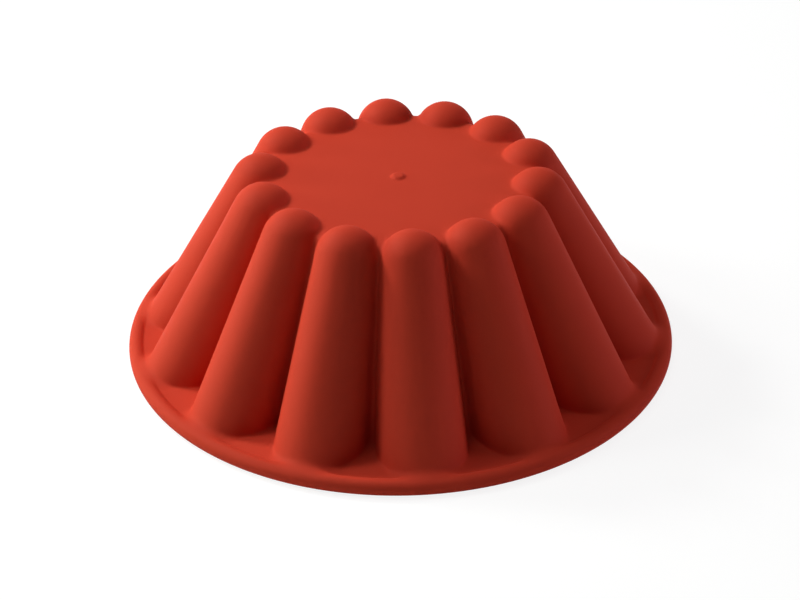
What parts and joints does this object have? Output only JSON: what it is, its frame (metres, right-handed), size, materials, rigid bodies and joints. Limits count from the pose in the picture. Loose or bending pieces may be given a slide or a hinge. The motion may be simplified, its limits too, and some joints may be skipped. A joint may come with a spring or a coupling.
{
  "type": "brioche mould",
  "caption": "Round fluted silicone brioche mould standing upside down on its beaded rim, with dome-ended flutes around a flat base disc and a hollow fluted cavity.",
  "frame": {"origin": "centre of the rim, on the surface that the rim rests on", "axes": "+Z is the axis of the mould, from the open rim towards the base disc; -Y runs through the middle of a flute"},
  "size_m": [0.24, 0.24, 0.0859],
  "materials": {
    "silicone": "matte",
    "ring_steel": "drawn wire"
  },
  "bodies": {
    "root": {"mould_shell": "silicone", "rim_ring": "ring_steel"}
  },
  "joints": []
}
